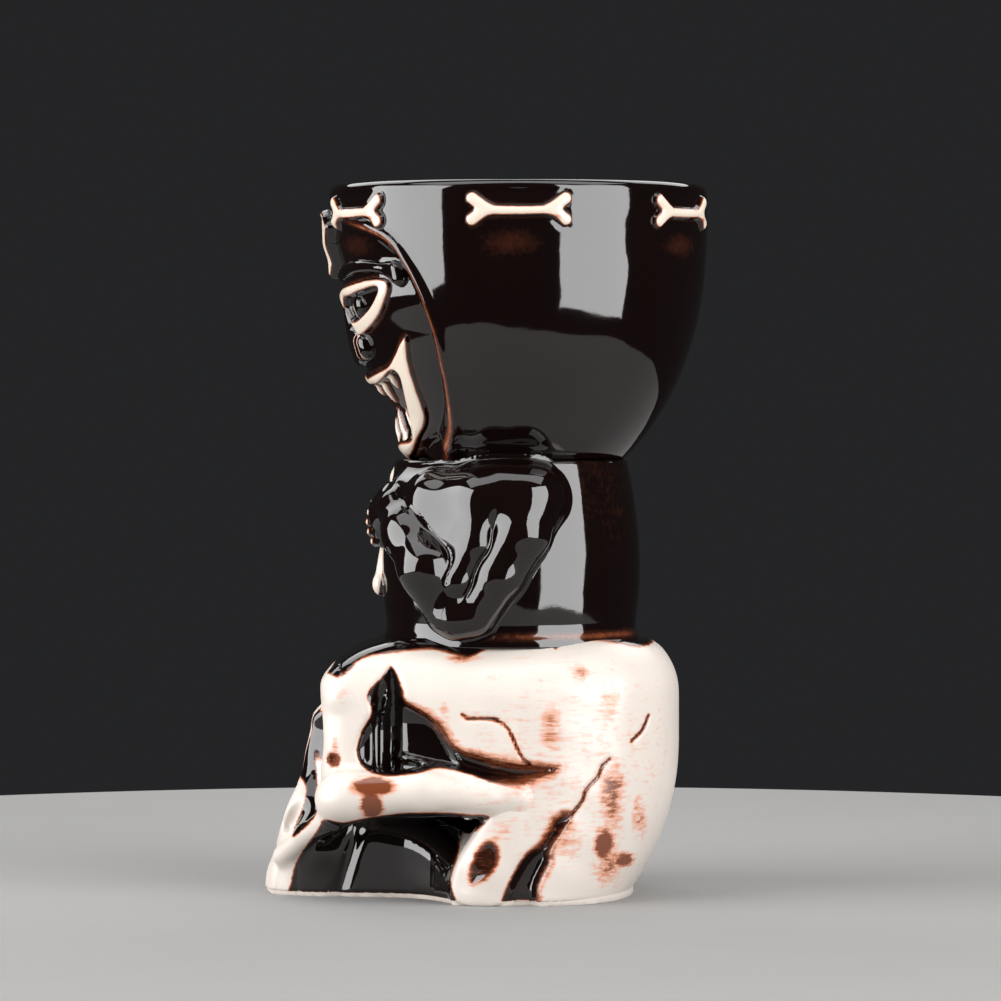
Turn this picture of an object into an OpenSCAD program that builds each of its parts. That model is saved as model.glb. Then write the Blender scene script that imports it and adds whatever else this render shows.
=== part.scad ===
// Tiki mug: a bowl-shaped head with a carved face and a ring of bones, on a cylindrical torso
// whose hands hold an upright bone, standing on a human skull. The mug is hollow from the rim
// down to the floor of the skull. The figure faces -Y, its left side is +X, and the origin is
// on the table under the middle of the mug.

/* [Overall] */
// Height of the rim above the table
mug_h = 180; // [176:1:184]
// Height of the top of the skull, where the torso stands
skull_h = 64.5; // [62:0.5:66]
// Height of the neck, where the bowl rests on the torso
neck_z = 110.5; // [109:0.5:112]
// Thickness of the fired clay at the rim
wall = 4.5; // [4:0.5:5]

/* [Head bowl] */
// Outer radius of the bowl at the rim
rim_r = 48; // [46:0.5:50]
// How far the bowl's axis stands behind the origin
bowl_y = 7.8; // [7:0.2:9]
// How deep the face is carved into the bowl
face_depth = 3; // [2:0.25:3.5]

/* [Rim bones] */
// Number of bones round the rim
bone_count = 6; // [4:1:6]
// Length of one bone, from knob to knob
bone_l = 27; // [22:0.5:30]
// Height of the knobs of a bone
bone_h = 8.4; // [7:0.2:9]
// How far a bone stands out of the bowl
bone_proud = 1.4; // [1:0.1:2]

/* [Torso] */
// Radius of the torso at its fullest
torso_r = 32.4; // [31:0.2:33]
// How far the torso's axis stands behind the origin
torso_y = 6; // [5:0.2:7]
// Radius of an arm at the shoulder
shoulder_r = 9; // [8:0.5:10]

/* [Skull] */
// Half width of the skull over the temples
skull_half_w = 40; // [38:0.5:42]
// How far the back of the skull lies behind the origin
skull_back = 48.8; // [46:0.2:50]
// How far the teeth reach in front of the origin
teeth_front = 57.2; // [55:0.2:58]

/* [Hidden] */
$fn = 64;

glaze = "#1c1412";
cream = "#f0e4d4";
ivory = "#ead9c8";

floor_t = 5;              // clay under the cavity
skin_out = 8;             // how far a cutting band reaches beyond the bowl
foot_root_z = 95;         // height at which the bowl's curve would close
bowl_fullness = 3.07;     // how long the bowl's wall stays steep
bowl_roundness = 1.32;    // how tightly the bowl turns under
profile_steps = 24;       // straight steps in the bowl's outline
bowl_open_r = 21;         // radius of the way from the bowl into the torso
plaque_z = 165;           // middle of the forehead plaque
bone_z = 172.6;           // middle of the ring of bones
split_y = -33;            // plane between the skull's cranium and its face
arch_under_z = 21;        // underside of the cheekbones
recess_half_w = 25;       // half width of the skull between the hollows under the cheekbones
recess_back = -3;         // rear end of those hollows
skull_wall = 5;           // clay of the skull
jaw_half_w = 20;          // half width of the row of teeth

// ---- the bowl's own surface, which everything on the head follows ----

function bowl_r(z) =
    let (down = (mug_h - z) / (mug_h - foot_root_z))
    rim_r * pow(1 - pow(max(down, 0), bowl_fullness), 1 / bowl_roundness);

// The wall grows thicker towards the neck, behind the carved face
function bowl_inner_r(z) = bowl_r(z) - wall - 2.5 * (mug_h - z) / (mug_h - neck_z);

function bowl_heights(low, high) =
    [for (i = [0 : profile_steps]) low + (high - low) * i / profile_steps];

// A closed skin that follows the bowl, from "inner" to "outer" millimetres off its surface
module bowl_skin(inner, outer, low = neck_z, high = mug_h)
    translate([0, bowl_y, 0])
        rotate_extrude($fn = 96)
            polygon(concat(
                [for (z = bowl_heights(low, high)) [bowl_r(z) + outer, z]],
                [for (z = bowl_heights(low, high)) [bowl_r(low + high - z) + inner, low + high - z]]));

// Outline points are [angle from the front, height]; this lays them flat, seen from "facing"
function flat(points, facing) =
    [for (p = points) [bowl_r(p[1]) * sin(p[0] - facing), p[1]]];

function mirrored(points) =
    concat(points, [for (i = [len(points) - 1 : -1 : 0]) [-points[i][0], points[i][1]]]);

// A relief on the bowl: its flat outline pushed through the skin at an angle from the front
module relief(facing, inner, outer)
    intersection() {
        bowl_skin(inner, outer);
        translate([0, bowl_y, 0])
            rotate([90, 0, facing])
                linear_extrude(rim_r + skin_out) children();
    }

module both_sides(side) mirror([side > 0 ? 0 : 1, 0, 0]) children();

// ---- outlines of the face, as [angle from the front, height] ----

face_half = [[0, 171], [20, 171], [33, 169], [47, 165.5], [54.5, 159], [59, 152], [62, 145],
    [63.5, 139], [64, 132], [63.5, 125.5], [61, 119], [54, 113.5], [45, 111.5], [0, 111.5]];
border_half = [[0, 173], [20, 173], [34, 171.5], [50, 167.5], [58, 160], [62.5, 152.5],
    [65.5, 145], [67, 139], [67.5, 132], [67, 125], [65, 118], [58, 112], [50, 110.6], [0, 110.6]];
eye_outer = [[8, 153], [22, 155.2], [40, 155.8], [46, 154], [43, 149.5], [35, 145],
    [22, 141.2], [15, 144.5]];
eye_inner = [[14, 150.5], [29, 152.4], [39, 153.2], [34, 148.8], [26, 145.6], [20, 144.8]];
brow_outline = [[9, 157], [26, 157.6], [41, 158], [46, 156.5], [50, 156], [50, 160.5], [44, 162.5],
    [30, 161], [12, 160]];
lips_outer = [[0, 131.8], [17, 132], [30, 133.5], [40, 137], [48.5, 142], [51, 138], [51, 130],
    [48, 124.5], [40, 118.5], [25, 114], [0, 112.5]];
lips_inner = [[0, 128.5], [20, 129], [31, 131], [38, 134.5], [40, 129], [36, 123.5], [28, 119.5],
    [14, 117], [0, 116.5]];
nose_half = [[0, 150], [4, 148], [6, 141], [20, 139], [22, 136], [16, 134.5], [0, 134.5]];

eye_facing = 27;          // the eyes are carved square on at this angle from the front

module face_area(points) polygon(flat(mirrored(points), 0));
module eye_area(points) polygon(flat(points, eye_facing));

// ---- head ----

module head_bowl()
    color(glaze)
        difference() {
            translate([0, bowl_y, 0])
                rotate_extrude($fn = 96)
                    polygon(concat(
                        [[bowl_open_r, neck_z]],
                        [for (z = bowl_heights(neck_z, mug_h)) [bowl_r(z), z]],
                        [for (z = bowl_heights(neck_z + 8, mug_h))
                            let (up = mug_h + neck_z + 8 - z) [max(bowl_inner_r(up), bowl_open_r), up]]));
            relief(0, -face_depth, skin_out) face_area(face_half);
        }

module face_border()
    color(glaze)
        relief(0, 0, 0.8)
            difference() {
                face_area(border_half);
                face_area(face_half);
            }

module forehead_plaque()
    color(cream)
        relief(0, -face_depth, 2.4)
            translate([0, plaque_z])
                union() {
                    scale([0.62, 1]) circle(9);
                    for (side = [-1, 1])
                        translate([side * 5.2, 4]) circle(2.6);
                }

module brow(side)
    color(glaze)
        both_sides(side)
            relief(eye_facing, -face_depth, -0.4) eye_area(brow_outline);

module eye_ring(side)
    color(cream)
        both_sides(side)
            relief(eye_facing, -face_depth, -1)
                difference() {
                    eye_area(eye_outer);
                    eye_area(eye_inner);
                }

module eyeball(side)
    color(glaze)
        both_sides(side)
            relief(eye_facing, -face_depth, -1.6)
                translate([bowl_r(149) * sin(-3), 149]) circle(2.6);

module nose()
    color(glaze)
        relief(0, -face_depth, -0.6) face_area(nose_half);

module lips()
    color(cream)
        relief(0, -face_depth, -0.8)
            difference() {
                face_area(lips_outer);
                face_area(lips_inner);
            }

// A row of pointed teeth, each as [angle from the front, height of its root, height of its tip]
module teeth_row(row, half_angle)
    color(cream)
        relief(0, -face_depth, -1.4)
            intersection() {
                for (tooth = row, side = [-1, 1])
                    polygon([for (p = [[-half_angle, tooth[1]], [half_angle, tooth[1]], [0, tooth[2]]])
                        [bowl_r(p[1]) * sin(side * tooth[0] + p[0]), p[1]]]);
                face_area(lips_inner);
            }

module upper_fangs() teeth_row([[30, 133, 126], [19, 131, 125.5], [7, 130, 126]], 4);
module lower_teeth() teeth_row([[27, 117, 123], [16, 115, 120.5], [5, 115, 120]], 5);

// One bone of the ring: a shaft with two knobs at each end
module rim_bone(index)
    color(cream)
        relief((index - 0.5) * 360 / bone_count, 0, bone_proud)
            translate([0, bone_z])
                union() {
                    square([bone_l - bone_h / 2, bone_h * 0.4], center = true);
                    for (end = [-1, 1], half = [-1, 1])
                        translate([end * (bone_l / 2 - bone_h / 4), half * bone_h / 4])
                            circle(bone_h / 4, $fn = 24);
                }

// ---- torso and arms ----

// Half of the torso's outline, from the skull up to the neck
function torso_outline(inset) = [
    [torso_r + 0.8 - inset, skull_h], [torso_r + 0.8 - inset, skull_h + 2],
    [torso_r - 0.5 - inset, skull_h + 4], [torso_r - inset, skull_h + 16],
    [torso_r - 0.6 - inset, skull_h + 26], [torso_r - 1.4 - inset, skull_h + 36],
    [torso_r - 2.6 - inset, neck_z - 3], [torso_r - 4.5 - inset, neck_z]];

module torso_solid()
    translate([0, torso_y, 0])
        rotate_extrude($fn = 96)
            polygon(concat([[0, skull_h]], torso_outline(0), [[0, neck_z]]));

module torso()
    color(glaze)
        difference() {
            torso_solid();
            translate([0, torso_y, skull_h - 1]) cylinder(h = neck_z - skull_h - 5, r = torso_r - 6.5);
            translate([0, torso_y, skull_h]) cylinder(h = neck_z, r = bowl_open_r);
        }

// Points of one arm of the figure, as [sideways, forwards, height]
shoulder = [31, 11, 101];
elbow = [33, -9, 70];
wrist = [19, -24, 91];

module bead(at, r) translate(at) sphere(r, $fn = 32);

module upper_arm_solid()
    intersection() {
        hull() {
            bead(shoulder, shoulder_r);
            bead(shoulder + [1, -14, 1], shoulder_r - 1);
            bead(elbow, shoulder_r - 2.5);
        }
        translate([0, 0, skull_h + 0.5]) cylinder(h = neck_z - skull_h - 1, r = 100);
    }

module upper_arm(side)
    color(glaze)
        both_sides(side)
            difference() {
                upper_arm_solid();
                torso_solid();
            }

module forearm_solid()
    hull() {
        bead(elbow, shoulder_r - 4);
        bead(wrist, shoulder_r - 4);
    }

module forearm(side)
    color(glaze)
        both_sides(side)
            difference() {
                forearm_solid();
                upper_arm_solid();
                torso_solid();
            }

bone_foot = [0, -29, 77];
held_bone_l = 30;         // between the middles of its knobs
bone_lean = -6;           // how far the held bone leans back at its top, in degrees

module held_bone_solid()
    translate(bone_foot)
        rotate([bone_lean, 0, 0])
            union() {
                cylinder(h = held_bone_l, r = 2);
                for (end = [0, held_bone_l], side = [-1, 1])
                    translate([side * 2.2, 0, end]) sphere(2.8);
            }

module held_bone()
    color(cream)
        difference() {
            held_bone_solid();
            torso_solid();
        }

// A palm and five fingers, one above the other, that close round the bone
module hand(side)
    color(glaze)
        both_sides(side)
            difference() {
                union() {
                    hull() {
                        bead(wrist, shoulder_r - 4.5);
                        bead([11, -27, 95], 5.5);
                        bead([9, -26.5, 91], 4);
                    }
                    for (i = [0 : 4])
                        hull() {
                            bead([10, -28, 89 + 2.9 * i], 2);
                            bead([2.2, -30.4, 88.4 + 3.1 * i], 1.7);
                        }
                }
                forearm_solid();
                torso_solid();
                held_bone_solid();
                translate([-50, -50, 60]) cube([50.2, 60, 60]);
            }

// ---- skull ----

module cranium_solid(inset)
    hull() {
        for (side = [-1, 1]) {
            bead([side * (skull_half_w - 21), 20, 40], 21 - inset);
            bead([side * (skull_half_w - 21), 2, 41], 20 - inset);
            bead([side * 14, -20, 44], 19 - inset);
            bead([side * 23, 29, 51], 12 - inset);
            bead([side * 13, 35, 52], 12 - inset);
            bead([side * 16, 22, 20], 22 - inset);
        }
        bead([0, skull_back - 22, 41], 22 - inset);
        translate([0, torso_y, skull_h - 3])
            cylinder(h = 3 - inset * 0.5, r = torso_r + 1.5 - inset, $fn = 48);
    }

module above_floor() translate([-60, -60, floor_t]) cube([120, 120, skull_h - floor_t]);

module in_front(grow) translate([-60, split_y - 60 + grow, 0]) cube([120, 60, skull_h + 1]);

// The deep hollows under the cheekbones, "grow" millimetres larger all round
module side_hollows(grow)
    for (side = [-1, 1])
        translate([side * (45 + recess_half_w - grow), recess_back - 50 + grow, 0])
            cube([90, 100, 2 * (arch_under_z + grow)], center = true);

// The skull's vault and its rear, without its face and its side hollows
module cranium_form(inset)
    difference() {
        intersection() {
            cranium_solid(inset);
            above_floor();
        }
        in_front(inset);
        side_hollows(inset);
    }

module skull_cranium()
    color(ivory)
        difference() {
            cranium_form(0);
            cranium_form(skull_wall);
            translate([0, torso_y, skull_h - 12]) cylinder(h = 14, r = torso_r - 6.5);
        }

module skull_face()
    color(ivory)
        difference() {
            intersection() {
                hull() {
                    for (side = [-1, 1]) {
                        bead([side * 28, -36, 50], 6.5);
                        bead([side * 27, -36, 28], 6);
                    }
                    bead([0, -37, 54], 6.5);
                    bead([0, -42, 31], 7);
                }
                translate([-60, split_y - 60, arch_under_z]) cube([120, 60, skull_h - arch_under_z]);
            }
            for (side = [-1, 1])
                bead([side * 14.5, -46, 42], 10);
            translate([0, -52, 30]) rotate([-20, 0, 0]) cylinder(h = 12, r = 4.5, center = true);
        }

module cheekbone(side)
    color(ivory)
        both_sides(side)
            difference() {
                hull() {
                    bead([29, -35, 28], 6);
                    bead([37, -16, 27], 4.5);
                    bead([39, 8, 29], 3.5);
                }
                cranium_solid(0);
                in_front(0);
            }

// The knob of bone behind each side hollow, down to the foot
module mastoid(side)
    color(ivory)
        both_sides(side)
            intersection() {
                hull() {
                    bead([30, recess_back, 5], 5);
                    bead([33, recess_back, 17], 5);
                }
                translate([recess_half_w, recess_back - 20, floor_t])
                    cube([40, 20, arch_under_z - floor_t]);
            }

module jaw_solid()
    hull() {
        translate([0, jaw_half_w - teeth_front, floor_t]) cylinder(h = 3, r = jaw_half_w);
        translate([0, split_y - 3, arch_under_z - 1]) cylinder(h = 1, r = 13);
        translate([-jaw_half_w, split_y - 1, floor_t]) cube([2 * jaw_half_w, 1, arch_under_z - floor_t]);
    }

module upper_jaw()
    color(ivory)
        difference() {
            jaw_solid();
            for (i = [-4 : 4])
                translate([0, jaw_half_w - teeth_front, floor_t])
                    rotate([0, 0, i * 20])
                        translate([0, -jaw_half_w - 0.4, 0]) cylinder(h = 9, r = 0.9, $fn = 16);
        }

module skull_floor()
    color(ivory)
        hull() {
            translate([0, jaw_half_w - teeth_front, 0]) cylinder(h = floor_t, r = jaw_half_w, $fn = 64);
            translate([0, 6, 0]) cylinder(h = floor_t, r = 34.5, $fn = 96);
        }

head_bowl();
face_border();
forehead_plaque();
brow(1);  // brow_left
brow(-1);  // brow_right
eye_ring(1);  // eye_ring_left
eye_ring(-1);  // eye_ring_right
eyeball(1);  // eyeball_left
eyeball(-1);  // eyeball_right
nose();
lips();
upper_fangs();
lower_teeth();
rim_bone(1);  // rim_bone_1
rim_bone(2);  // rim_bone_2
rim_bone(3);  // rim_bone_3
rim_bone(4);  // rim_bone_4
rim_bone(5);  // rim_bone_5
rim_bone(6);  // rim_bone_6
torso();
upper_arm(1);  // upper_arm_left
upper_arm(-1);  // upper_arm_right
forearm(1);  // forearm_left
forearm(-1);  // forearm_right
hand(1);  // hand_left
hand(-1);  // hand_right
held_bone();
skull_cranium();
skull_face();
cheekbone(1);  // cheekbone_left
cheekbone(-1);  // cheekbone_right
mastoid(1);  // mastoid_left
mastoid(-1);  // mastoid_right
upper_jaw();
skull_floor();
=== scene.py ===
"""The looks of the tiki mug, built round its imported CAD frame.

Shapes are worked out in millimetres in the frame's own axes (the figure faces -Y, its left side
is +X, +Z is up) and turned into metres when a mesh is made. The head is a surface of revolution
with relief on it; the arms, hands and skull are smooth distance fields turned into meshes.
"""
import math

import bpy
import numpy as np
import openvdb
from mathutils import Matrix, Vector


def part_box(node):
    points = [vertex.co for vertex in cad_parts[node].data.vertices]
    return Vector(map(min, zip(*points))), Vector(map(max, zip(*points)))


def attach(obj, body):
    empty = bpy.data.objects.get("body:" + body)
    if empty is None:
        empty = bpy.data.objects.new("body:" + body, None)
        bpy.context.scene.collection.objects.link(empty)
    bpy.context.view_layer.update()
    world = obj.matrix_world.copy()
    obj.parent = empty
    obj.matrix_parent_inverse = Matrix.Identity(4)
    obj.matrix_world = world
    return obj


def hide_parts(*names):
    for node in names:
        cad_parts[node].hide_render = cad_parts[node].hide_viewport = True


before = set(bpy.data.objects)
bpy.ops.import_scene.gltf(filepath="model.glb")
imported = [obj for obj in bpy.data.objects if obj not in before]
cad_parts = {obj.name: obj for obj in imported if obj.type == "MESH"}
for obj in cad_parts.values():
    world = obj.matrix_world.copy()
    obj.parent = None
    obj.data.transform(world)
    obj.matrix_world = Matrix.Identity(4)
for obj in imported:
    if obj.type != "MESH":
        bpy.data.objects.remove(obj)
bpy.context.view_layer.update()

MM = 0.001


def node_box(name):
    low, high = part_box(name)
    return np.array(low) / MM, np.array(high) / MM


# ---- driving dimensions, read from the frame ----

head_low, head_high = node_box("head_bowl")
torso_low, torso_high = node_box("torso")
bone_low, bone_high = node_box("rim_bone_2")
held_low, held_high = node_box("held_bone")

RIM_Z = head_high[2]
NECK_Z = head_low[2]
RIM_R = (head_high[0] - head_low[0]) / 2 + 0.1
BOWL_Y = (head_low[1] + head_high[1]) / 2
TORSO_R = (torso_high[0] - torso_low[0]) / 2 - 0.8
TORSO_Y = (torso_low[1] + torso_high[1]) / 2
SKULL_Z = torso_low[2]
BONE_Z = (bone_low[2] + bone_high[2]) / 2
BONE_H = bone_high[2] - bone_low[2]
BONE_L = bone_high[1] - bone_low[1]

WALL = 4.5                # fired clay at the rim
NECK_HOLE_R = 21.0        # way from the bowl into the torso
BONE_COUNT = 6
BONE_PROUD = 1.4          # how far a rim bone stands out
RELIEF_PROUD = 1.3        # how far the eye rings, lips and brows stand out
RELIEF_BACK = 0.8         # how deep an applied relief is sunk into the wall
EDGE_SINK = 0.35          # how far the edge of a relief dips below the ground
RIM_ROUNDING = 2.2        # height of the rounded rim
MEMBER_CREASE = 50        # steeper edges than this many degrees stay sharp, on arms and hands
SKULL_CREASE = 42
TORSO_INNER_R = TORSO_R - 6.5


# ---- small mathematical helpers ----

def ramp(low, high, value):
    """0 below low, 1 above high, and a smooth rise between."""
    t = np.clip((value - low) / (high - low), 0, 1)
    return t * t * (3 - 2 * t)


def dome(depth, width):
    """Rounded shoulder of a relief: 0 at its edge, 1 from "width" inside it."""
    t = np.clip(depth / width, 0, 1)
    return np.sqrt(1 - (1 - t) ** 2)


def smooth_min(a, b, k):
    h = np.maximum(k - np.abs(a - b), 0) / k
    return np.minimum(a, b) - h * h * k / 4


def smooth_max(a, b, k):
    return -smooth_min(-a, -b, k)


def gauss(value, width):
    return np.exp(-((value / width) ** 2))


def smooth_loop(points, steps=6):
    """A closed curve through the points."""
    p = np.array(points, float)
    before, after, last = np.roll(p, 1, 0), np.roll(p, -1, 0), np.roll(p, -2, 0)
    rows = []
    for t in np.arange(steps) / steps:
        rows.append(0.5 * (2 * p + (after - before) * t
                           + (2 * before - 5 * p + 4 * after - last) * t ** 2
                           + (3 * p - before - 3 * after + last) * t ** 3))
    return np.stack(rows, 1).reshape(-1, 2)


def path_distance(path, u, v):
    """Distance from points (u, v) to an open line."""
    nearest = np.full(np.broadcast(u, v).shape, 1e9)
    for (ax, ay), (bx, by) in zip(path[:-1], path[1:]):
        ex, ey = bx - ax, by - ay
        along = np.clip(((u - ax) * ex + (v - ay) * ey) / (ex * ex + ey * ey), 0, 1)
        nearest = np.minimum(nearest, (u - ax - along * ex) ** 2 + (v - ay - along * ey) ** 2)
    return np.sqrt(nearest)


def loop_distance(loop, u, v):
    """Signed distance from points (u, v) to a closed outline, negative inside."""
    closed = np.vstack([loop, loop[:1]])
    inside = np.zeros(np.broadcast(u, v).shape, bool)
    for (ax, ay), (bx, by) in zip(closed[:-1], closed[1:]):
        if ay != by:
            inside ^= ((ay > v) != (by > v)) & (u < (bx - ax) * (v - ay) / (by - ay) + ax)
    return np.where(inside, -1, 1) * path_distance(closed, u, v)


def capsule(x, y, z, start, end, r_start, r_end):
    """Distance to a rod with round ends that tapers from start to end."""
    a, b = np.array(start, float), np.array(end, float)
    d = b - a
    along = np.clip(((x - a[0]) * d[0] + (y - a[1]) * d[1] + (z - a[2]) * d[2]) / (d @ d), 0, 1)
    gap = np.sqrt((x - a[0] - along * d[0]) ** 2 + (y - a[1] - along * d[1]) ** 2
                  + (z - a[2] - along * d[2]) ** 2)
    return gap - (r_start + (r_end - r_start) * along)


def ellipsoid(x, y, z, centre, radii, lean=0.0):
    """Roughly the distance to an ellipsoid, leant by "lean" degrees in the side view."""
    c, s = math.cos(math.radians(lean)), math.sin(math.radians(lean))
    u = (y - centre[1]) * c + (z - centre[2]) * s
    w = (z - centre[2]) * c - (y - centre[1]) * s
    px, py, pz = (x - centre[0]) / radii[0], u / radii[1], w / radii[2]
    k0 = np.sqrt(px ** 2 + py ** 2 + pz ** 2)
    k1 = np.sqrt((px / radii[0]) ** 2 + (py / radii[1]) ** 2 + (pz / radii[2]) ** 2)
    return k0 * (k0 - 1) / np.maximum(k1, 1e-6)


# ---- meshes ----

def make_piece(name, points, faces, look, replaced, glaze, wash=None, crease=None):
    """A smooth-shaded piece from points in millimetres, with its glaze thickness on each point.
    A look is the name of a slot and its material; the name is not used."""
    slot_name, material = look
    mesh = bpy.data.meshes.new(name)
    points = np.asarray(points, float)
    faces = np.asarray(faces, int)
    sides = faces.shape[1]
    mesh.vertices.add(len(points))
    mesh.vertices.foreach_set("co", (points * MM).ravel())
    mesh.loops.add(faces.size)
    mesh.loops.foreach_set("vertex_index", faces.ravel())
    mesh.polygons.add(len(faces))
    mesh.polygons.foreach_set("loop_start", np.arange(0, faces.size, sides))
    mesh.polygons.foreach_set("use_smooth", np.ones(len(faces), bool))
    mesh.update(calc_edges=True)
    mesh.validate()
    for layer_name, values in (("glaze", glaze), ("wash", wash)):
        if values is not None:
            layer = mesh.attributes.new(layer_name, "FLOAT", "POINT")
            layer.data.foreach_set("value", np.asarray(values, float))
    if crease:
        mesh.set_sharp_from_angle(angle=math.radians(crease))
    piece = bpy.data.objects.new(name, mesh)
    bpy.context.scene.collection.objects.link(piece)
    mesh.materials.append(material)
    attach(piece, "root")
    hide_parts(*replaced)


def make_pair(name, points, faces, look, glaze, wash, crease):
    """A piece on the figure's left, and its mirror image on the right."""
    for side, shape in (("left", (points, faces)), ("right", (points * [-1, 1, 1], faces[:, ::-1]))):
        make_piece(f"{name}_{side}_visual", *shape, look, [f"{name}_{side}"], glaze, wash, crease)


def tube_faces(rings, columns):
    """Quads of a closed torus-like grid: every ring joins the next, and the last joins the first."""
    ring, column = np.meshgrid(np.arange(rings), np.arange(columns), indexing="ij")
    next_ring, next_column = (ring + 1) % rings, (column + 1) % columns
    return np.stack([ring * columns + column, ring * columns + next_column,
                     next_ring * columns + next_column, next_ring * columns + column],
                    -1).reshape(-1, 4)


def patch_solid(top, bottom, keep):
    """A closed solid from two matching sheets of points, made only where "keep" cells are true."""
    rows, columns = keep.shape
    number = np.arange((rows + 1) * (columns + 1)).reshape(rows + 1, columns + 1)
    a, b, c, d = number[:-1, :-1], number[:-1, 1:], number[1:, 1:], number[1:, :-1]
    under = number.size
    faces = [np.stack([a, b, c, d], -1)[keep], np.stack([d, c, b, a], -1)[keep] + under]
    padded = np.pad(keep, 1)
    for start, end, beside in ((a, b, padded[:-2, 1:-1]), (b, c, padded[1:-1, 2:]),
                               (c, d, padded[2:, 1:-1]), (d, a, padded[1:-1, :-2])):
        edge = keep & ~beside
        faces.append(np.stack([start[edge], start[edge] + under, end[edge] + under, end[edge]], -1))
    faces = np.concatenate(faces)
    points = np.concatenate([top.reshape(-1, 3), bottom.reshape(-1, 3)])
    used = np.unique(faces)
    renumber = np.zeros(len(points), int)
    renumber[used] = np.arange(len(used))
    return points[used], renumber[faces], used


# ---- the bowl-shaped head ----

FOOT_ROOT_Z = 95.0        # height at which the bowl's curve would close
BOWL_FULLNESS = 3.07      # how long the bowl's wall stays steep
BOWL_ROUNDNESS = 1.32     # how tightly the bowl turns under


def bowl_radius(z):
    down = np.clip((RIM_Z - z) / (RIM_Z - FOOT_ROOT_Z), 0, 0.9999)
    return RIM_R * (1 - down ** BOWL_FULLNESS) ** (1 / BOWL_ROUNDNESS)


def from_front(angle, z):
    """Distance round the bowl from the front, the same on both halves."""
    return np.abs(np.radians(angle)) * bowl_radius(z)


def wall_thickness(z):
    """The wall grows thicker towards the neck, behind the carved face."""
    return WALL + 3.0 * (RIM_Z - z) / (RIM_Z - NECK_Z)


# Outlines on the face are [distance round the bowl from the front, height]. They are drawn for
# the figure's left half; the other half mirrors them.
FACE = smooth_loop([
    (-10, 171), (12, 171), (28.2, 169.4), (39.8, 165.5), (45.4, 158.8), (48.3, 152.1), (49.4, 145.4),
    (49, 140), (47.4, 134.4), (45.2, 129.2), (40.8, 123), (35.4, 118), (28, 113.5), (20, 110),
    (-10, 109)
])
EYE_OUTER = smooth_loop([
    (5, 152.6), (9.8, 153.7), (18.8, 154.6), (28.2, 155.6), (35, 155.6), (36.9, 153.4), (34.3, 149.5),
    (30.2, 146), (24.7, 143.3), (17.1, 141.1), (13, 141.4), (10.3, 145), (7, 148.4), (4.6, 150.6)
])
EYE_INNER = smooth_loop([
    (8.4, 149), (10.8, 150.9), (16.1, 151.2), (25.2, 152.6), (32, 153.3), (30.2, 150.7),
    (26.3, 148.2), (20.1, 146), (15.9, 145.2), (11.6, 145.2), (9.4, 147)
])
BROW = smooth_loop([
    (4, 155.3), (13, 156.1), (24, 157.2), (34, 156.6), (38.4, 154.2), (41, 153.3), (43, 155),
    (42.6, 158), (39.8, 160), (34, 159.7), (24, 160.4), (13, 159.8), (4, 158.8)
])
LIPS_OUTER = smooth_loop([
    (-6, 130.4), (5, 130.4), (11.5, 130.9), (18, 131.8), (24.8, 133.2), (30, 136), (35.2, 139.9),
    (37.3, 140.7), (37.2, 138.8), (35.6, 135.4), (34, 131.4), (31.8, 126.2), (28.5, 120.8),
    (24.1, 117.4), (18, 114.8), (10.1, 111.9), (4, 111), (-6, 111)
])
LIPS_INNER = smooth_loop([
    (-6, 127.7), (6, 127.8), (13, 128.1), (20, 129.6), (25.8, 131.5), (27.9, 130.8), (26.4, 127.8),
    (23, 123.6), (19.6, 120.2), (16.6, 117), (13, 115), (6, 115), (-6, 115)
])
NOSE = smooth_loop([
    (-4, 150.6), (2, 150.4), (3.4, 146), (6.5, 143.2), (12, 142), (16.4, 140.9), (17.7, 138),
    (16.6, 135.4), (12, 134.4), (-4, 134)
])
EYE_TURN = 22.8           # middle of an eyeball, in degrees round from the front
EYE_Z = 148.3
EYEBALL_R = 2.9
# The teeth, as [distance round from the front, root height, tip height, half width]
FANGS = [(21.2, 130.8, 125.8, 1.9), (13.4, 129, 121.8, 1.8), (5, 128.6, 124, 1.6)]
LOWER_TEETH = [(15.4, 115.4, 120.8, 1.7), (9.2, 114.2, 121.4, 1.5), (3.2, 114.2, 119.8, 1.3)]


def bone_gap(round_mm, z):
    """Signed distance to the outline of the rim bone whose middle is at round_mm = 0."""
    end = BONE_L / 2 - BONE_H * 0.24
    bow = 0.45 * (1 - (round_mm / end) ** 2)
    lift = z - BONE_Z + bow
    shaft = np.hypot(np.maximum(np.abs(round_mm) - end + 2, 0), lift) - BONE_H * 0.17
    fork = path_distance([(end - BONE_H * 0.42, 0), (end, BONE_H * 0.31)],
                         np.abs(round_mm), np.abs(z - BONE_Z)) - BONE_H * 0.215
    return smooth_min(shaft, fork, 1.1)


def round_to_bone(angle, z):
    """Distance round the bowl from the middle of the nearest rim bone."""
    step = 360 / BONE_COUNT
    turn = (angle + 360) % step - step / 2
    return np.radians(turn) * bowl_radius(z)


def face_ground(s, z):
    """Height of the carved face's ground off the bowl, before any applied relief."""
    inside = -loop_distance(FACE, s, z)
    middle = gauss(s, 17)
    depth = 2.4 + 1.1 * ramp(152, 141, z)
    depth = depth * (1 - 0.5 * ramp(160, 166, z))
    ground = -depth * ramp(0.3, 3.2, inside)
    ground += 0.9 * gauss(inside + 0.3, 1.15) * ramp(18, 27, s)
    ground += 3.3 * middle * ramp(121, 114.5, z)
    ground -= 0.3 * gauss(s - 24, 8) * gauss(z - 138, 4.0)
    mouth = -loop_distance(LIPS_INNER, s, z)
    ground -= 1.4 * ramp(-0.6, 1.3, mouth)
    eye = -loop_distance(EYE_INNER, s, z)
    ground -= 0.9 * ramp(-0.6, 0.9, eye)
    return ground


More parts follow.
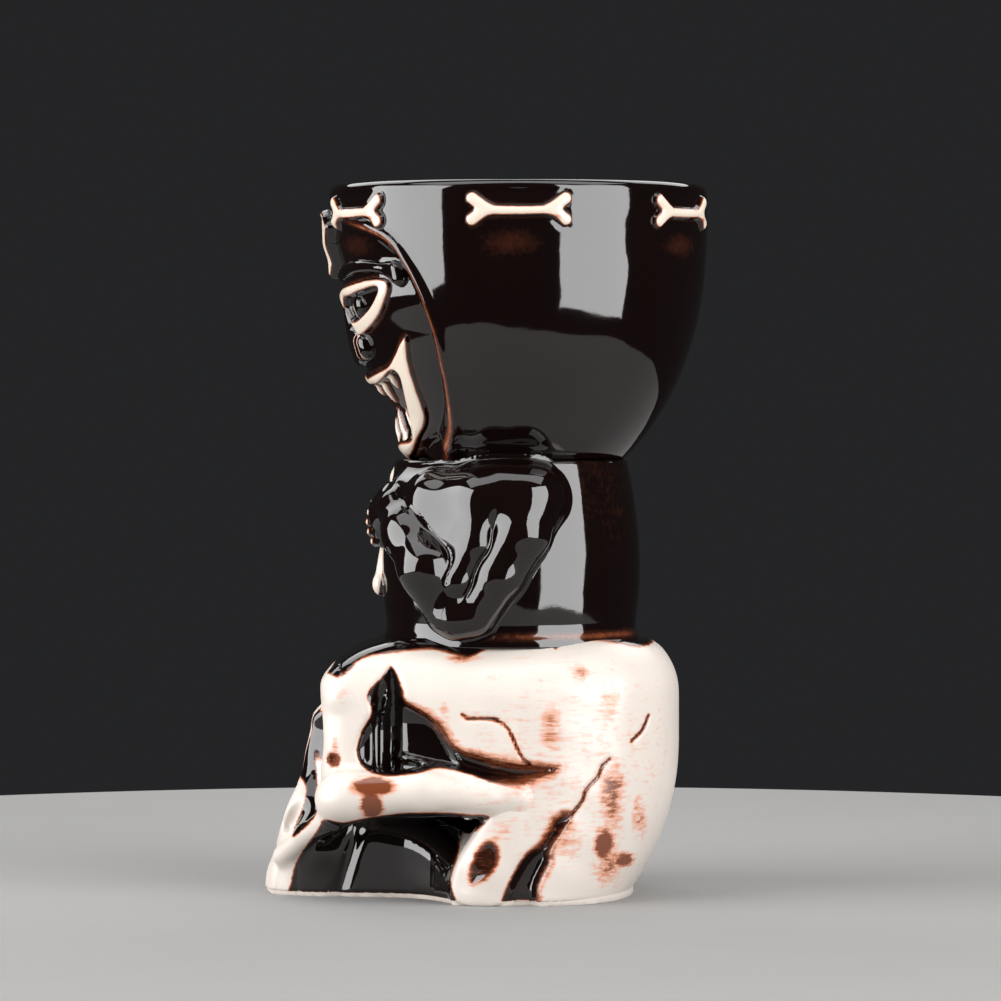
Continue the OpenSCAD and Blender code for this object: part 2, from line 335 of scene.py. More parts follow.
def bowl_ground(angle, z):
    """Height of the head's ground off the bowl: the face, and a dip above each rim bone."""
    s = from_front(angle, z)
    ground = face_ground(s, z)
    beside = round_to_bone(angle, z)
    ground -= 0.6 * gauss(beside, 7.5) * gauss(z - BONE_Z - BONE_H * 0.50, 1.5)
    ground -= 0.16 * ramp(1.3, 0, bone_gap(beside, z))
    wobble = np.sin(np.radians(angle * 3 + 40)) * np.cos(z / 11) * 0.22
    wobble += np.sin(np.radians(angle * 7) + z / 9) * 0.10
    return ground + wobble * ramp(RIM_Z, RIM_Z - 12, z)


def head_points(angle, z, height):
    """Points at an angle from the front and a height above the table, "height" off the bowl."""
    lean = (bowl_radius(z + 0.05) - bowl_radius(z - 0.05)) / 0.1
    size = np.sqrt(1 + lean ** 2)
    r = bowl_radius(z) + height / size
    turn = np.radians(angle)
    return np.stack([r * np.sin(turn), BOWL_Y - r * np.cos(turn), z - height * lean / size], -1)


def build_head(look):
    front = np.arange(-76, 76, 0.5)
    back = np.arange(76, 284, 1.4)
    angle = np.concatenate([front, back])
    rows = np.linspace(NECK_Z, RIM_Z - RIM_ROUNDING, 178)
    grid_angle, grid_z = np.meshgrid(angle, rows)
    turned = (grid_angle + 180) % 360 - 180
    outer = head_points(grid_angle, grid_z, bowl_ground(turned, grid_z))
    rings = [outer]
    lip_mid = bowl_radius(RIM_Z - RIM_ROUNDING) - WALL / 2
    for step in np.radians(np.arange(18, 180, 18)):
        r = lip_mid + math.cos(step) * WALL / 2
        z = RIM_Z - RIM_ROUNDING + math.sin(step) * RIM_ROUNDING
        rings.append(ring_points(angle, r, z)[None])
    for z in np.linspace(RIM_Z - RIM_ROUNDING, NECK_Z + 7, 24):
        r = max(bowl_radius(z) - wall_thickness(z), NECK_HOLE_R + 0.6)
        rings.append(ring_points(angle, r, z)[None])
    rings.append(ring_points(angle, NECK_HOLE_R, NECK_Z + 5)[None])
    rings.append(ring_points(angle, NECK_HOLE_R, NECK_Z)[None])
    points = np.concatenate(rings)
    glaze = np.ones(points.shape[:2])
    glaze[:len(rows)] = head_glaze(turned, grid_z)
    count = points.shape[0]
    make_piece("head_bowl_visual", points.reshape(-1, 3), tube_faces(count, len(angle)),
               look, ["head_bowl", "face_border"], glaze.ravel())


def ring_points(angle, r, z):
    turn = np.radians(angle)
    return np.stack([r * np.sin(turn), BOWL_Y - r * np.cos(turn), np.full(len(angle), z)], -1)


def head_glaze(angle, z):
    """Glaze thickness on the head's ground: 1 is full, less is thin and brown."""
    s = from_front(angle, z)
    face_edge = np.abs(loop_distance(FACE, s, z) + 0.4)
    thin = 0.52 * gauss(face_edge, 0.8) * ramp(16, 30, s)
    beside = round_to_bone(angle, z)
    thin += 0.25 * gauss(beside + 2, 9) * gauss(z - BONE_Z + 8.5, 3.4)
    for outline in (EYE_OUTER, LIPS_OUTER):
        thin += 0.35 * gauss(loop_distance(outline, s, z), 0.8)
    thin += 0.25 * gauss(np.minimum(bone_gap(beside, z), 3), 0.6)
    thin += 0.24 * ramp(0, 2, -loop_distance(LIPS_INNER, s, z)) * gauss(z - 122, 4)
    return np.clip(1 - thin, 0, 1)


def build_sprig(node, look, centre_angle, low, high, gap, height, glaze, fine=0.27):
    """An applied relief on the head. gap(angle, z) is the signed distance to its outline, and
    height(depth, angle, z) how far it stands off the ground at that depth inside the outline."""
    mid_r = bowl_radius((low[1] + high[1]) / 2)
    columns = int((high[0] - low[0]) / fine) + 1
    rows = int((high[1] - low[1]) / fine) + 1
    span = np.degrees(np.linspace(low[0], high[0], columns) / mid_r)
    angle, z = np.meshgrid(centre_angle + span, np.linspace(low[1], high[1], rows))
    away = gap(angle, z)
    turned = (angle + 180) % 360 - 180
    ground = bowl_ground(turned, z)
    rise = height(-away, angle, z) - EDGE_SINK * np.clip(away / 0.7, 0, 1)
    top = head_points(angle, z, ground + rise)
    bottom = head_points(angle, z, ground - RELIEF_BACK)
    near = away < 0.75
    keep = near[:-1, :-1] & near[1:, :-1] & near[:-1, 1:] & near[1:, 1:]
    points, faces, used = patch_solid(top, bottom, keep)
    thickness = np.concatenate([glaze(-away, angle, z).ravel(), np.ones(angle.size)])[used]
    make_piece(f"{node}_visual", points, faces, look, [node], thickness)


def wiped(depth, full=0.9):
    """Glaze thickness on a wiped relief: thick outside its edge, bare inside it."""
    return 1 - ramp(-0.35, full, depth)


def wiped_from(inset, full):
    return lambda depth, angle, z: wiped(depth - inset, full)


def domed(proud, width):
    return lambda depth, angle, z: proud * dome(depth, width)


def bone_glaze(depth, turn, z):
    """A rim bone is wiped bare, but glaze laps its lower edge more and more towards one end."""
    lap = ramp(-BONE_L * 0.3, BONE_L * 0.25, turn) * ramp(BONE_L * 0.42, BONE_L * 0.34, turn)
    return wiped(depth - 0.15, 0.9) + 0.42 * lap * ramp(BONE_Z - 0.5, BONE_Z - 1.9, z)


def build_rim_bones(look):
    for index in range(BONE_COUNT):
        middle = (index + 0.5) * 360 / BONE_COUNT

        def turn(angle, z):
            return np.radians(angle - middle) * bowl_radius(z)

        build_sprig(f"rim_bone_{index + 1}", look, middle,
                    (-BONE_L / 2 - 2, BONE_Z - BONE_H / 2 - 2),
                    (BONE_L / 2 + 2, BONE_Z + BONE_H / 2 + 2),
                    lambda angle, z: bone_gap(turn(angle, z), z),
                    domed(BONE_PROUD, 1.6),
                    lambda depth, angle, z: bone_glaze(depth, turn(angle, z), z))


def face_gap(outline):
    """Signed distance to an outline of the face, on whichever half the point lies."""
    def gap(angle, z):
        return loop_distance(outline, from_front(angle, z), z)
    return gap


def tooth_height(proud):
    """Teeth stand on the floor of the mouth, and stay below the lips where the two overlap."""
    def height(depth, angle, z):
        s = from_front(angle, z)
        return (0.6 + proud * ramp(0.1, 1.4, -loop_distance(LIPS_INNER, s, z))) * dome(depth, 1.3)
    return height


def teeth_gap(teeth):
    def gap(angle, z):
        s = from_front(angle, z)
        nearest = np.full(s.shape, 9.0)
        for place, root, tip, half in teeth:
            along = np.clip((z - root) / (tip - root), -0.4, 1.0)
            width = half * (1 - np.clip(along, 0, 1))
            side = np.hypot(np.maximum(np.abs(s - place) - width, 0),
                            np.maximum((z - tip) * np.sign(tip - root), 0))
            within = np.maximum(np.abs(s - place) - width, -1.2)
            nearest = np.minimum(nearest, np.where(side > 0, side, within))
        return np.maximum(nearest, loop_distance(LIPS_INNER, s, z) - 0.6)
    return gap


def build_face(dark, cream):
    for side, sign in (("left", 1), ("right", -1)):
        build_sprig(f"eye_ring_{side}", cream, sign * 25.5, (-20, 138.5), (20, 158),
                    ring_gap(EYE_OUTER, EYE_INNER), domed(RELIEF_PROUD, 1.5), wiped_from(0.2, 0.9))
        build_sprig(f"eyeball_{side}", dark, sign * EYE_TURN, (-5, 144), (5, 153),
                    eyeball_gap, domed(1.7, 2.7), eyeball_glaze)
        build_sprig(f"brow_{side}", dark, sign * 28, (-24, 151), (24, 163),
                    face_gap(BROW), brow_height, lambda depth, angle, z: np.ones_like(depth))
    build_sprig("nose", dark, 0, (-20, 132), (20, 153), face_gap(NOSE), nose_height,
                nose_glaze_with_painted_highlights)
    build_sprig("lips", cream, 0, (-42, 109.8), (42, 143),
                ring_gap(LIPS_OUTER, LIPS_INNER), domed(RELIEF_PROUD, 1.8), wiped_from(0.25, 1.0),
                fine=0.32)
    build_sprig("upper_fangs", cream, 0, (-26, 122), (26, 133), teeth_gap(FANGS),
                tooth_height(0.9), wiped_from(0, 0.5))
    build_sprig("lower_teeth", cream, 0, (-20, 113), (20, 123),
                teeth_gap(LOWER_TEETH), tooth_height(0.6), wiped_from(0, 0.5))


def brow_height(depth, angle, z):
    s = from_front(angle, z)
    return (RELIEF_PROUD + 1.0 * gauss(s - 40.5, 2.6)) * dome(depth, 2.2)


def ring_gap(outer, inner):
    """Signed distance to the band between two outlines of the face."""
    def gap(angle, z):
        s = from_front(angle, z)
        return np.maximum(loop_distance(outer, s, z), -loop_distance(inner, s, z))
    return gap


def eyeball_gap(angle, z):
    return np.hypot((np.abs(angle) - EYE_TURN) * 0.8, z - EYE_Z) - EYEBALL_R


def eyeball_glaze(depth, angle, z):
    """A small bare spot on the glazed ball."""
    spot = np.hypot((np.abs(angle) - EYE_TURN + 2.2) * 0.8, (z - 147.4) * 0.6)
    return ramp(1.1, 1.8, spot)


def nose_height(depth, angle, z):
    """The nose rises from the brow to its tip, widest over the nostrils."""
    return (0.9 + 1.4 * ramp(150, 139, z)) * dome(depth, 2.4)


def nose_glaze_with_painted_highlights(depth, angle, z):
    """Two thin lines down each wing are left bare of glaze, as painted highlights."""
    s = from_front(angle, z)
    painted_highlight_lines = gauss(s - 12.0 - 0.2 * (z - 138), 0.32) + gauss(s - 14.9, 0.28)
    return 1 - 0.95 * np.clip(painted_highlight_lines, 0, 1) * ramp(134.4, 135.6, z) * ramp(142.4, 141, z)


def build_plaque(look):
    """The raised plaque on the forehead: a leaf with a rib down its middle."""
    low, high = node_box("forehead_plaque")
    middle_z, half_h = (low[2] + high[2]) / 2, (high[2] - low[2]) / 2
    leaf = smooth_loop([(0, middle_z - half_h), (3.6, middle_z - 5), (5.6, middle_z + 1),
                        (7.2, middle_z + 4.4), (5.2, middle_z + 6.6), (2.4, middle_z + half_h - 0.6),
                        (0, middle_z + half_h), (-2, middle_z + half_h - 0.6),
                        (-2, middle_z - half_h + 1)])

    def height(depth, angle, z):
        s = from_front(angle, z)
        rib = 0.35 * gauss(s, 0.8) - 0.3 * gauss(s - 2.6, 0.7)
        return (2.9 + rib) * dome(depth, 1.5)

    build_sprig("forehead_plaque", look, 0, (-10, low[2] - 2),
                (10, high[2] + 2), face_gap(leaf), height, wiped_from(0.8, 0.7))


# ---- distance fields turned into meshes ----

def mesh_field(field, low, high, cell):
    """The surface where field(x, y, z) is 0, as points laid exactly on it and quads."""
    low, high = np.array(low, float), np.array(high, float)
    counts = np.ceil((high - low) / cell).astype(int) + 1
    x, y, z = np.ix_(*[low[i] + cell * np.arange(counts[i]) for i in range(3)])
    values = np.ascontiguousarray(np.broadcast_to(field(x, y, z), counts), dtype=np.float32)
    grid = openvdb.FloatGrid(cell * 4)
    grid.copyFromArray(values)
    points, faces = grid.convertToQuads(0.0)
    points = low + points.astype(float) * cell
    for _ in range(2):
        points = onto_surface(field, points, cell * 0.6)
    corner = points[faces[:, 0]]
    turned = np.cross(points[faces[:, 1]] - corner, points[faces[:, 2]] - corner)
    if np.einsum("ij,ij->", turned, corner - points.mean(0)) < 0:
        faces = faces[:, ::-1]
    return points, faces.astype(int)


def slopes(field, points, step=0.03):
    """The field's value and gradient at each point."""
    x, y, z = points.T
    middle = field(x, y, z)
    rise = np.stack([field(x + step, y, z), field(x, y + step, z), field(x, y, z + step)], -1)
    return middle, (rise - middle[:, None]) / step


def onto_surface(field, points, furthest):
    middle, rise = slopes(field, points)
    move = middle[:, None] * rise / np.maximum((rise ** 2).sum(1), 0.15)[:, None]
    length = np.linalg.norm(move, axis=1)[:, None]
    return points - move * np.minimum(1, furthest / np.maximum(length, 1e-9))


# ---- the torso, its arms and the held bone ----

def torso_radius(z):
    """Outer radius of the torso: waisted a little above its foot, and drawn in to the neck."""
    up = (z - SKULL_Z) / (NECK_Z - SKULL_Z)
    drawn_in = 3.5 * np.clip((up - 0.37) / 0.63, 0, 1) ** 2
    waist = 1.1 * np.clip((0.37 - up) / 0.27, 0, 1) ** 1.5
    foot = 0.9 * ramp(0.07, 0.0, up)
    return TORSO_R + 0.5 - drawn_in - waist + foot


def torso_gap(x, y, z):
    return np.hypot(x, y - TORSO_Y) - torso_radius(np.clip(z, SKULL_Z, NECK_Z))


def build_torso(look):
    angle = np.arange(0, 360, 1.5)
    rings = [(torso_radius(max(z, SKULL_Z)), z) for z in np.linspace(SKULL_Z - 1.0, NECK_Z - 0.6, 92)]
    rings += [(torso_radius(NECK_Z) - 0.7, NECK_Z - 0.15), (NECK_HOLE_R, NECK_Z)]
    rings += [(NECK_HOLE_R, NECK_Z - 5)]
    rings += [(TORSO_INNER_R, z) for z in np.linspace(NECK_Z - 7, SKULL_Z - 1.0, 12)]
    points = np.stack([ring_points(angle, r, z) for r, z in rings])
    points[..., 1] += TORSO_Y - BOWL_Y
    outside = np.array([r > TORSO_R - 5 for r, _ in rings])[:, None]
    towards_back = ramp(0.4, 1.0, np.cos(np.radians(angle - 125)))
    # glint is a painted highlight: a band of thinner, browner glaze round the foot of the torso, on the
    # side towards the back
    glint = gauss(points[..., 2] - SKULL_Z - 2.0, 1.3) * towards_back
    warm = 0.12 * towards_back * ramp(0.3, 0.9, (points[..., 2] - SKULL_Z) / 40)
    make_piece("torso_visual", points.reshape(-1, 3), tube_faces(len(rings), len(angle)),
               look, ["torso"], (1 - outside * (0.42 * glint + warm)).ravel())


# Places along the figure's left arm, as (out to its left, backwards, height)
SHOULDER = (28.5, 5.5, 101.0)
ELBOW = (33.5, -7.6, 71.4)
WRIST = (16.5, -22.4, 98.0)
FINGER_COUNT = 5


def chain(x, y, z, stops, blend=1.5):
    """A rod through several stops, each (place, radius)."""
    rods = [capsule(x, y, z, a, b, ra, rb) for (a, ra), (b, rb) in zip(stops[:-1], stops[1:])]
    joined = rods[0]
    for rod in rods[1:]:
        joined = smooth_min(joined, rod, blend)
    return joined


def upper_arm_gap(x, y, z):
    """Two long muscles side by side, under a broad shoulder that rolls forward to the hand."""
    shoulder = ellipsoid(x, y, z, SHOULDER, (10.8, 14.3, 10.3))
    front = chain(x, y, z, [((33.5, -1.2, 101), 5.0), ((35.8, -2.8, 90), 4.1),
                            ((35.6, -7.4, 80.5), 3.8), ((33.6, -10.8, 72.6), 3.8)])
    back = chain(x, y, z, [((31.2, 10.4, 101), 7.8), ((34.2, 8.4, 92.5), 7.3),
                           ((35.0, 2.9, 82), 6.3), ((33.6, -3.0, 72), 5.4)])
    elbow = ellipsoid(x, y, z, ELBOW, (6.2, 6.2, 5.9))
    arm = smooth_min(front, back, 0.8)
    arm = smooth_min(smooth_min(arm, elbow, 2.0), shoulder, 3.0)
    chest = chain(x, y, z, [((29, -3, 100), 8.0), ((23.4, -12, 99.8), 8.2), ((13.5, -18.2, 101), 7.0)])
    hollow = capsule(x, y, z, (30.5, -6, 91), (23.5, -13.5, 93.5), 6.6, 7.0)
    arm = smooth_min(smooth_min(arm, chest, 3.5), hollow, 3.0)
    return smooth_max(arm, z - NECK_Z + 0.2, 2.0)


def forearm_gap(x, y, z):
    return chain(x, y, z, [((33.0, -11.0, 71.8), 4.4), ((31.8, -14.8, 83.5), 7.0),
                           ((24.6, -19.6, 92.2), 6.4), (WRIST, 5.6)], 3.0)


def finger_line(index):
    """The root, middle and tip of one finger, which curls round to the bone."""
    up = 2.45 * (index - (FINGER_COUNT - 1) / 2)
    bow = 0.05 * up * up
    return (10.5, -27.2 + bow, 94.6 + up), (5.0, -29.4 + bow, 94.5 + up), (1.7, -29.2 + bow, 94.3 + up)


def fingers_gap(x, y, z):
    nearest = None
    for index in range(FINGER_COUNT):
        root, middle, tip = finger_line(index)
        finger = chain(x, y, z, [(root, 1.7), (middle, 1.45), (tip, 1.35)], 0.5)
        nearest = finger if nearest is None else smooth_min(nearest, finger, 0.35)
    return nearest


def hand_gap(x, y, z):
    palm = smooth_min(capsule(x, y, z, WRIST, (9.5, -24.6, 97), 5.4, 5.6),
                      ellipsoid(x, y, z, (9.5, -23.8, 96), (6.0, 5.0, 9.0)), 2.0)
    return smooth_min(palm, fingers_gap(x, y, z), 1.0)


def luted(part, beneath, fillet=2.2, bury=2.2):
    """A member pressed on to what lies beneath it, with a soft fillet, and sunk a little in."""
    def field(x, y, z):
        alone, base = part(x, y, z), beneath(x, y, z)
        joined = smooth_min(alone, base, fillet) + 0.05
        return np.maximum(np.maximum(joined, -(base + bury)), alone - fillet)
    return field


def torso_and_arm_gap(x, y, z):
    return np.minimum(torso_gap(x, y, z), upper_arm_gap(x, y, z))


def build_arms(look):
    members = {
        "upper_arm": (luted(upper_arm_gap, torso_gap), (9, -26, 63), (43, 23, 112)),
        "forearm": (luted(forearm_gap, torso_and_arm_gap, 1.2), (9, -32, 64), (42, 0, 106)),
        "hand": (luted(hand_gap, torso_and_arm_gap, 1.2), (0.2, -33, 84), (25, -14, 108)),
    }
    for name, (field, low, high) in members.items():
        points, faces = mesh_field(field, low, high, 0.42)
        glaze = hand_glaze(points) if name == "hand" else np.ones(len(points))
        make_pair(name, points, faces, look, glaze, None, MEMBER_CREASE)


def hand_glaze(points):
    """The knuckles are wiped bare, with the glaze left in the creases between the fingers."""
    x, y, z = points.T
    knuckle = np.zeros(len(points))
    for index in range(FINGER_COUNT):
        _, middle, _ = finger_line(index)
        in_front = ramp(middle[1] - 0.5, middle[1] - 1.3, y)
        knuckle = np.maximum(knuckle, gauss(z - middle[2], 0.95) * in_front)
    return 1 - ramp(8.0, 5.5, x) * knuckle


HELD_FOOT = (0, torso_low[1] + 0.1, held_low[2] + 4.8)
HELD_TOP = (0, torso_low[1] + 4.6, held_high[2] - 4.6)


def held_bone_gap(x, y, z):
    low, high = np.array(HELD_FOOT), np.array(HELD_TOP)
    rod = capsule(x, y, z, low, high, 1.9, 1.9)
    for end, away in ((low, -1), (high, 1)):
        knobs = ellipsoid(np.abs(x), y, z, (2.1, end[1], end[2] + 0.4 * away), (2.5, 2.3, 3.0))
        rod = smooth_min(rod, knobs, 1.4)
    return rod


def build_held_bone(look):
    points, faces = mesh_field(luted(held_bone_gap, torso_gap, 0.8), (-6, -34, 72), (6, -19, 112),
                               0.32)
    x, y, z = points.T
    out = -(y - (HELD_FOOT[1] + (z - HELD_FOOT[2]) / (HELD_TOP[2] - HELD_FOOT[2])
                 * (HELD_TOP[1] - HELD_FOOT[1])))
    make_piece("held_bone_visual", points, faces, look, ["held_bone"],
               1 - ramp(-0.4, 0.5, out), crease=MEMBER_CREASE)


# ---- the skull ----

# Outlines in the side view, in millimetres, as [backwards, height]
JAW_SIDE = smooth_loop([
    (-57.4, -8), (-57.3, 1), (-56.6, 5.5), (-55, 9), (-53.6, 13.5), (-51.8, 20), (-49.4, 26),
    (-47.4, 30.5), (-46.4, 36), (-45.2, 41), (-43.4, 47), (-34, 50), (-20, 44), (-6, 28), (-4, 10),
    (-6, -8)
], 4)
TEMPLE = smooth_loop([
    (-23.8, 59), (-21.3, 54), (-20.4, 50.6), (-14.9, 47.4), (-11.4, 44.2), (-8, 39.4), (-3, 37.4),
    (3.2, 35.8), (10.6, 34.9), (17.2, 34.2), (13.6, 32.2), (7, 30.3), (2, 30.7), (-4, 32.6),
    (-11.7, 34.2), (-19, 32.8), (-25.8, 32.4), (-30.6, 34), (-32.5, 37.8), (-31.2, 43), (-28.8, 47.6),
    (-29.8, 52.4), (-26.5, 56.2)
], 4)
UNDER_ARCH = smooth_loop([
    (-42.4, 18), (-40.6, 20.9), (-36, 20.5), (-31, 21.4), (-22, 22.8), (-15, 23.2), (-6, 22.8),
    (0.4, 22.3), (-2.4, 19), (-6.2, 16.6), (-7.4, 12), (-9.2, 6), (-8.6, -3), (-28, -6), (-49.4, -3),
    (-49.6, 3.6), (-48.2, 8.6), (-45.8, 12.8)
], 4)
NASAL = smooth_loop([
    (-46.9, 29), (-45.9, 25.5), (-47.2, 21.2), (-49.2, 15.6), (-46.6, 17.4), (-42.9, 21.8),
    (-43.4, 24.6), (-43.2, 29), (-43.8, 34), (-43.4, 41), (-42.6, 47), (-45.2, 51), (-52, 46),
    (-52, 34)
], 4)
BROW_GLAZE = smooth_loop([
    (-40.4, 59.4), (-38.4, 55.6), (-35.4, 57.2), (-31.4, 61), (-25, 62.4), (-14.3, 63.4),
    (-8.4, 62.2), (-4.2, 61.6), (0.8, 64), (10, 65.7), (28, 65.4), (40.6, 63.6), (44, 70), (0, 78),
    (-50, 72)
], 4)
SPOT = smooth_loop([
    (0.4, 16.4), (2.6, 14.4), (2.3, 10), (-0.6, 6.9), (-4.1, 5.6), (-4.2, 9.6), (-2.4, 13.8)
], 4)
GULLY = smooth_loop([
    (20.1, 23.8), (16.1, 22.2), (12.8, 16.4), (9.2, 13.4), (5.4, 7.2), (3, 1), (2.4, -5), (13, -5),
    (13.4, 4), (16.3, 10.6), (16.6, 14), (20.4, 20)
], 4)
CRACKS = [[(-6.2, 47.5), (-4.6, 46.6), (-0.8, 46.7), (1.9, 46.5), (3.9, 45.4), (5.4, 43.9),
           (6.6, 41.4), (7.6, 39), (8.6, 37), (10.6, 35.2)],
          [(30.5, 36.3), (28.6, 34.6), (27.3, 31.6), (25.4, 29.8), (24.2, 28.4), (23.8, 26.4),
           (21.3, 23.2), (19.6, 21)],
          [(40.3, 46.6), (39.5, 44.4), (38.5, 42.8), (36, 40.5)],
          [(16.6, 66.4), (17.1, 63.9)]]
# The jaw seen from above, as [half width, backwards], and from the front, as [half width, height]
JAW_PLAN = smooth_loop([
    (-10, -57.4), (3, -57.2), (7.4, -55.6), (11, -51.8), (13.6, -46), (15.2, -39), (16.2, -30),
    (18, -21), (23, -14.6), (31, -9), (33, -2), (-10, 2)
], 4)
JAW_FRONT = smooth_loop([
    (-10, -8), (40, -8), (38, 6), (26, 13), (16.5, 20), (11, 26), (7.4, 32), (6, 38), (5.2, 47),
    (-10, 50)
], 4)
ORBIT = (15.0, -46.6, 41.5)
ORBIT_RADII = (11.2, 12.4, 9.8)
NOSTRIL = (3.0, -50.2, 22.5)
NOSTRIL_RADII = (3.2, 6.0, 7.6)
# Patches of dry-brushed wash: place [backwards, height], half sizes and strength
WASH = [
    ((16, 44), (4.2, 9), 0.60), ((20, 17), (5, 9), 0.58), ((30.5, 50), (3.8, 9), 0.55),
    ((31, 27), (4.6, 14), 0.68), ((38, 21), (3.0, 8), 0.58), ((30, 10), (5.5, 8), 0.62),
    ((23, 57.5), (3.0, 3.2), 0.66), ((29.5, 52.5), (1.8, 2.4), 0.62), ((32.3, 30), (2.8, 2.0), 0.72),
    ((29, 15), (3.0, 5.0), 1.05), ((34.2, 10.6), (3.2, 2.4), 1.0), ((4.5, 19.5), (5, 3.4), 0.46),
    ((-10.5, 48), (2.6, 5.5), 0.46), ((-28.5, 29.8), (5.6, 2.4), 1.35),
    ((-28.8, 25.2), (3.3, 3.6), 1.25), ((-38.4, 35.7), (2.1, 2.1), 1.25),
    ((-38, 38.8), (1.4, 4.6), 0.6), ((-36, 52), (3.4, 3), 0.38), ((-6.5, 61.2), (6, 1.6), 0.6),
    ((-1, 28), (7, 2), 0.36), ((-50, 5), (3, 2.2), 0.75), ((20, 36), (60, 50), 0.35),
    ((-47.4, 20), (1.6, 3.4), 0.8), ((2, 16.6), (2.4, 2.4), 0.5)
]
FLOOR_T = node_box("skull_floor")[1][2]
JAW_SEAM_Z = 18.5         # top of the upper jaw, where the face is set on it
FOOT_LINE = 0.9           # height of the bare foot that shows below the glaze


def face_cut(y, z):
    """Negative in front of the seam between the face and the cranium."""
    return y + 30.5 + 0.5 * np.clip(z - 46, 0, 12)


def jaw_cut(y, z):
    """Negative in the jaw: below the cheekbones and in front of the mastoids."""
    return np.maximum(z - JAW_SEAM_Z, y - mastoid_front(z))


def mastoid_front(z):
    return -9.4 + 9.4 * np.clip((z - 4) / 18, 0, 1) ** 1.6


def temple_floor(y, z):
    """How far out the bottom of the temple hollow lies, with the folds inside it."""
    floor = 27.5 + 9.0 * np.clip((y + 24) / 32, 0, 1) ** 0.75 + 3.0 * ramp(44, 57, z)
    floor = floor + 2.2 * ramp(-26.5, -29.5, y)
    floor = floor + 1.9 * gauss(y + 26.4 - 1.5 * gauss(z - 52, 4), 0.8) * ramp(54, 50, z)
    floor = floor - 1.6 * gauss(y + 23.2, 1.5)
    floor = floor + 1.1 * gauss(y + 11.5 - 0.5 * (44 - z), 0.8) * ramp(49, 46, z)
    return floor + 1.7 * gauss(z - 36.6 + 0.22 * (y + 22), 1.1) * ramp(-25, -21, y)


def crack_gap(y, z):
    return np.minimum.reduce([path_distance(path, y, z) for path in CRACKS])


def vault_gap(ax, y, z):
    """The cranium's dome: an egg in plan, drawn in towards its crown and the nape."""
    crown = np.clip((z - 50) / 15.6, 0, 1) ** 2.4
    nape = np.clip((40 - z) / 40, 0, 1) ** 2.2
    across = ax / (1 - 0.28 * crown)
    reach = 40.8 - 13 * nape - 7.5 * crown
    back = 40 * (((across / 40) ** 2.25 + (np.maximum(y - 8, 0) / reach) ** 2.25) ** (1 / 2.25) - 1)
    narrowing = 8.5 * (np.maximum(8 - y, 0) / 41) ** 1.1
    side = np.where(y > 8, back, across - 40 + narrowing)
    front = -41.7 + 15.5 * np.clip((z - 54) / 11.5, 0, 1) ** 1.8 - y
    top = z - 66.6 + 0.0016 * (y - 5) ** 2
    return smooth_max(smooth_max(side, front, 7), top, 2.5)


def jaw_gap(ax, y, z):
    jaw = smooth_max(smooth_max(loop_distance(JAW_SIDE, y, z), loop_distance(JAW_PLAN, ax, y), 4),
                     loop_distance(JAW_FRONT, ax, z), 5)
    turn = np.degrees(np.arctan2(ax, -(y + 37)))
    tooth = np.abs(np.sin(np.radians(turn * 9.5 + 90)))
    gum = ramp(12.5, 9.0, z + 1.2 * tooth) * ramp(-44, -48, y)
    swell = -1.8 * gauss(np.hypot(y + 42.5, z - 11.5), 4.2) * ramp(8, 12, ax)
    swell = swell + 1.2 * gauss(y + 35.5 - 0.3 * (z - 8), 1.8) * ramp(8, 12, ax)
    ridge = 0.3 * gauss(z - 11.5, 1.1) * ramp(-44, -48, y)
    return jaw + swell + 0.7 * (1 - tooth ** 0.45) * gum + ridge


def cheek_gap(x, y, z):
    """The cheekbone: a knob in front and a bar that runs back along the side."""
    ax = np.abs(x)
    knob = ellipsoid(ax, y, z, (30.8, -36.3, 26.2), (7.8, 6.8, 6.6))
    bar = chain(ax, y, z, [((33, -33, 27.2), 6.1), ((35.4, -16, 28.4), 5.2), ((37, 0, 27), 4.0),
                           ((37.4, 7, 27), 3.4)], 3)
    return smooth_min(knob, bar, 3)


def mastoid_gap(x, y, z):
    """The pillar behind the jaw, with a shallow spot pressed into its side."""
    ax = np.abs(x)
    pillar = chain(ax, y, z, [((33.8, 5.5, 21), 5.6), ((34.0, 0.2, 9), 5.7), ((33.8, -0.8, 3), 5.9)], 3)
    return smooth_max(pillar + 0.9 * ramp(0.3, -1.8, loop_distance(SPOT, y, z)) * ramp(28, 33, ax),
                      0.3 - z, 1.2)


